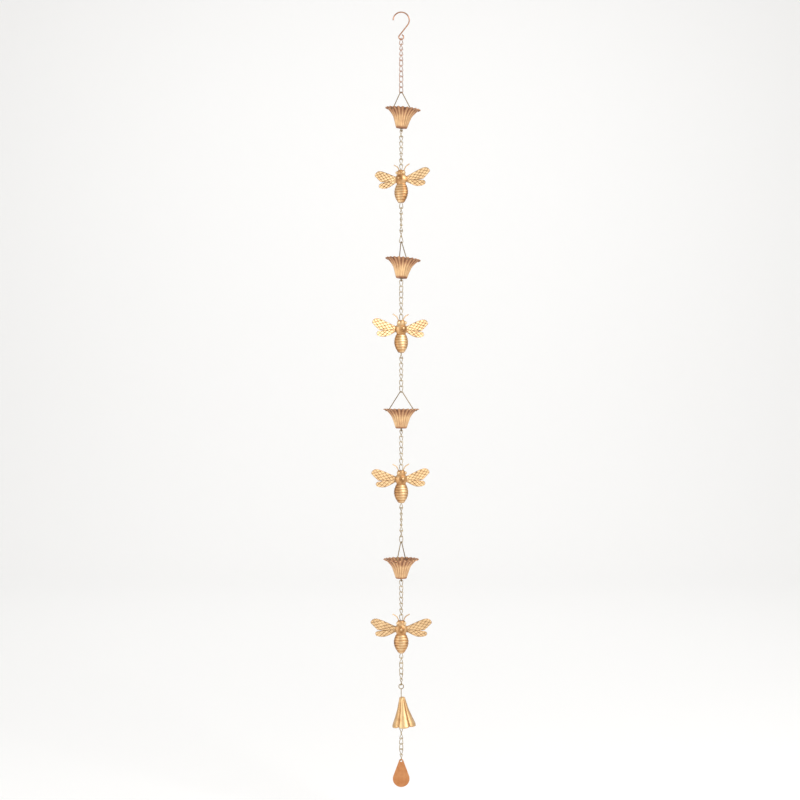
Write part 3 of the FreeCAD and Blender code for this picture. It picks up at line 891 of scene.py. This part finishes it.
bee_parts = {"bee_body": (bee, bee_gold, "bee_sheet"), "bee_wings": (wings, wing_gold, "wing_sheet"),
             "bee_rivet": (rivet, bee_gold, "bee_sheet"), "bee_antennae": (antennae, bee_gold, "bee_sheet")}
for n in cups:
    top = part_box("bee_body_%d" % n)[1].z
    turn = wing_turn("bee_wings_%d" % n)
    place = Matrix.Translation((0, 0, top)) @ Matrix.Rotation(turn, 4, "Z")
    for word, (master, finish, slot) in bee_parts.items():
        node = "%s_%d" % (word, n)
        dress(copy_of(master, node + "_piece", place), node, "bee_%d" % n, finish)
    print("bee", n, "turned", round(math.degrees(turn), 1))

# %% [markdown]
# ## The bell
# The bell is a pressed cup turned over, with six lobes and a scalloped mouth. It is raised like the
# cups. Each column is drawn in between the lobes, and the mouth's points are pulled down on the
# lobes.

# %% Raise the bell
bell_drop = 29.5
bell_lobes = 6
lobe_columns = 16
lobe_depth = 0.13
bell_scallop = 2.5
bell_wall = 1.0
bell_lean = 4.0
bell_line = ((29.2, -64.5), (28.1, -62.6), (26.3, -58.8), (24.3, -54.4), (22.2, -50.0), (19.8, -43.6),
             (17.4, -37.2), (14.8, -30.5), (12.5, -22.5), (10.4, -14.5), (8.4, -7.2), (7.2, -2.4),
             (6.4, -0.6), (5.2, 0.0), (1.6, 0.0))
mouth_rings = ((-64.5, 1.0), (-62.6, 0.6), (-58.8, 0.25))   # height, share of the scallop
bell_columns = bell_lobes * lobe_columns
bell = raise_rings("bell_wall", bell_columns, bell_line)


def lobe(turn):
    return abs(math.cos(bell_lobes * (turn + math.pi / 2) / 2)) ** 0.5


flute(bell, bell_columns, lambda turn: 1 - lobe_depth * (1 - lobe(turn)))
for i in range(bell_columns):
    turn = 2 * math.pi * i / bell_columns
    for height, share in mouth_rings:
        pick(bell, lambda co: abs(co.z - height * mm) < 0.02 * mm and in_column(co, turn))
        bpy.ops.transform.translate(value=(0, 0, -bell_scallop * lobe(turn) * share * mm))
close_piece(bell, 60)
apply_modifier(bell, "SOLIDIFY", thickness=sheet_share * bell_wall * mm, offset=-1)
# Crests of the lobes are rubbed brighter than the hollows between them; the half that faces the front is
# made brighter too, which is painted light.
mark(bell, lambda co: 0.5 * lobe(math.atan2(co.y, co.x))
     - 0.4 * min(0, co.y / math.hypot(co.x, co.y)))
hang = Vector(pivots["bell"]["pos_m"])
contact = hang + Vector((0, 0, (link_wire + link_gap) / 2 * mm))
bell.data.transform(Matrix.Translation(contact) @ Matrix.Rotation(-math.radians(bell_lean), 4, "Y")
                    @ Matrix.Translation((0, 0, -bell_drop * mm)))
dress(bell, "bell", "bell", bell_gold)
print("bell:", size_of(bell), "solid:", solid_size("bell"))

# %% [markdown]
# ## The bell's pin
# The pin is one wire with a ring above the bell and an eye inside it, which carries the clapper
# chain. Bending both loops and the stem in one go would need small joining bends. Here each loop is
# a nearly closed spin, and the stem runs from one into the other.

# %% Bend the pin
pin_wire = 2.0
ring_radius = 5.5
pin_eye_radius = 3.6
ring_height = pin_wire / 2 + link_gap / 2 - ring_radius
loop_turn = 346
cut = 0.12          # radians left open on one side of the loop's end
stem_bite = 0.4     # how far the stem runs into a loop
ring = start_wire("pin_ring", (ring_radius * math.sin(cut), 0, ring_height - ring_radius * math.cos(cut)),
                  (math.cos(cut), 0, math.sin(cut)), wire_share * pin_wire)
bend_wire((0, 0, ring_height), (0, -1, 0), loop_turn)
end_wire(ring)
low_eye = Vector(pivots["clapper_chain_1"]["pos_m"]) - contact
eye_middle = low_eye.z / mm + pin_eye_radius
loop = start_wire("pin_loop", (-pin_eye_radius * math.sin(cut), 0,
                               eye_middle + pin_eye_radius * math.cos(cut)),
                  (-math.cos(cut), 0, -math.sin(cut)), wire_share * pin_wire)
bend_wire((0, 0, eye_middle), (0, -1, 0), loop_turn)
end_wire(loop)
stem_low = eye_middle + pin_eye_radius - stem_bite
stem_high = ring_height - ring_radius + stem_bite
stem = start_wire("pin_stem", (0, 0, stem_low), (0, 0, 1), wire_share * pin_wire)
run_wire((0, 0, stem_high - stem_low))
end_wire(stem)
pin = join("bell_pin_wire", [ring, loop, stem])
mark(pin, lambda co: 0.4)
pin.data.transform(Matrix.Translation(contact))
dress(pin, "bell_pin", "bell", brass_wire)
print("pin:", size_of(pin))

# %% [markdown]
# ## The drop
# The chain ends in a flat drop, cut from copper sheet. Two short cylinders, a large and a small
# one, are wrapped in their convex hull, which gives the drop's outline with its straight flanks. A
# Boolean cuts the hole, and a bevel takes the edge off.

# %% Cut the drop
drop_sheet = 1.5
drop_radius = 20.0
drop_neck = 5.2
drop_length = 66.5
drop_hole = 2.4
drop_top = 2.3 + link_gap / 2
drop_trim = 0.3     # keeps the round end inside the solid's facets
flat = (math.radians(90), 0, 0)
start_piece()
bpy.ops.mesh.primitive_cylinder_add(vertices=96, radius=(drop_radius - drop_trim) * mm,
                                    depth=drop_sheet * mm, rotation=flat,
                                    location=(0, 0, (drop_top - drop_length + drop_radius) * mm))
drop = edit_new("drop_plate")
bpy.ops.mesh.primitive_cylinder_add(vertices=48, radius=drop_neck * mm, depth=drop_sheet * mm,
                                    rotation=flat, location=(0, 0, (drop_top - drop_neck) * mm))
bpy.ops.mesh.select_all(action="SELECT")
bpy.ops.mesh.convex_hull()
bpy.ops.mesh.dissolve_limited(angle_limit=math.radians(1))
close_piece(drop, 30)
start_piece()
bpy.ops.mesh.primitive_cylinder_add(vertices=32, radius=drop_hole * mm, depth=6 * mm, rotation=flat,
                                    location=(0, 0, (link_gap / 2 - drop_hole) * mm))
cutter = bpy.context.object
apply_modifier(drop, "BOOLEAN", object=cutter, operation="DIFFERENCE", solver="EXACT")
bpy.data.objects.remove(cutter)
apply_modifier(drop, "BEVEL", width=0.25 * mm, segments=3, limit_method="ANGLE",
               angle_limit=math.radians(50))
hold = Vector(pivots["drop"]["pos_m"]) + Vector((0, 0, (link_wire + link_gap) / 2 * mm))
drop.data.transform(Matrix.Translation(hold))
mark(drop, lambda co: 0.45)
dress(drop, "drop", "drop", drop_copper)
print("drop:", size_of(drop), "solid:", solid_size("drop"))

# %% [markdown]
# ## Clearing the bench
# The pieces that were copied have done their work. If they stayed, they would lie at the origin in
# every picture, so they are removed.

# %% Clear the bench
for master in [cup, bail, eye, bee, wings, rivet, antennae, *link_masters.values()]:
    bpy.data.objects.remove(master)

# %% [markdown]
# ## The stage
# The photo is bright all over. A pale floor runs up in a round sweep into a wall far behind, so
# that no edge shows. A box would do as well, but its corner would draw a line behind the chain.

# %% Build the stage
floor_height = -1.95
sweep_radius = 1.8
floor_back = 4.25
start_piece()
bpy.ops.mesh.primitive_plane_add(size=1, location=(0, 0, floor_height))
floor = edit_new("pale_floor")
bpy.ops.transform.resize(value=(30, 5.5, 1), center_override=(0, 0, floor_height))
pick(floor, lambda co: co.y < 0)
bpy.ops.transform.translate(value=(0, -12, 0))
pick(floor, lambda co: co.y > 0)
bpy.ops.transform.translate(value=(0, 1.5, 0))
bpy.ops.mesh.spin(steps=16, angle=-math.radians(90),
                   center=(0, floor_back, floor_height + sweep_radius), axis=(1, 0, 0))
bpy.ops.mesh.extrude_region_move(TRANSFORM_OT_translate={"value": (0, 0, 5)})
close_piece(floor, 180)
pale = bpy.data.materials.new("pale_paper")
pale.use_nodes = True
paper = pale.node_tree.nodes["Principled BSDF"]
paper.inputs["Base Color"].default_value = (0.95, 0.95, 0.95, 1)
paper.inputs["Roughness"].default_value = 0.9
floor.data.materials.append(pale)
floor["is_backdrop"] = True
print("floor:", [round(v, 2) for v in floor.dimensions])

# %% [markdown]
# ## The light
# The sky lights softly from all sides. Alone it would leave the metal dull, so a large panel on the
# right and a weaker one on the left give it something to mirror. A third panel brightens the wall
# behind.

# %% Light it
scene = bpy.context.scene
scene.view_settings.view_transform = "Standard"
world = bpy.data.worlds.new("soft_sky")
scene.world = world
world.use_nodes = True
sky = world.node_tree.nodes["Background"]
sky.inputs["Color"].default_value = (1.0, 0.99, 0.97, 1)
sky.inputs["Strength"].default_value = 0.7


def panel(name, place, aim, size, power):
    data = bpy.data.lights.new(name, "AREA")
    data.shape = "RECTANGLE"
    data.size, data.size_y = size
    data.energy = power
    lamp = bpy.data.objects.new(name, data)
    lamp.location = place
    lamp.rotation_euler = (Vector(aim) - Vector(place)).to_track_quat("-Z", "Y").to_euler()
    bpy.context.collection.objects.link(lamp)


panel("key_panel", (2.0, -2.2, 0.6), (0, 0, -0.8), (1.2, 2.0), 70)
panel("fill_panel", (-2.4, -1.6, -0.9), (0, 0, -0.9), (1.0, 2.2), 22)
panel("wall_panel", (0, 2.4, 2.2), (0, 4.6, -0.7), (5.0, 1.5), 46)
print("panels:", len(bpy.data.lights))

# %% [markdown]
# ## The camera
# The photo was taken straight from the front. The camera stands at the height of the chain's middle
# and far enough away that top and bottom are seen nearly level, with a lens that fills the frame as
# the photo does.

# %% Place the camera
chain_middle = -0.9114
lens = bpy.data.cameras.new("photo_camera")
camera = bpy.data.objects.new("photo_camera", lens)
bpy.context.collection.objects.link(camera)
camera.location = (-0.0028, -2.95, chain_middle)
camera.rotation_euler = (math.radians(90), 0, 0)
lens.sensor_width = 36.0
lens.lens = 56.4
lens.clip_end = 50
scene.camera = camera
print("camera:", [round(v, 3) for v in camera.location], "lens", lens.lens)

# %% [markdown]
# ## Measuring up
# The dressed chain has to keep the solids' size. The box round the dressed pieces is measured.

# %% Measure the sizes
low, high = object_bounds()
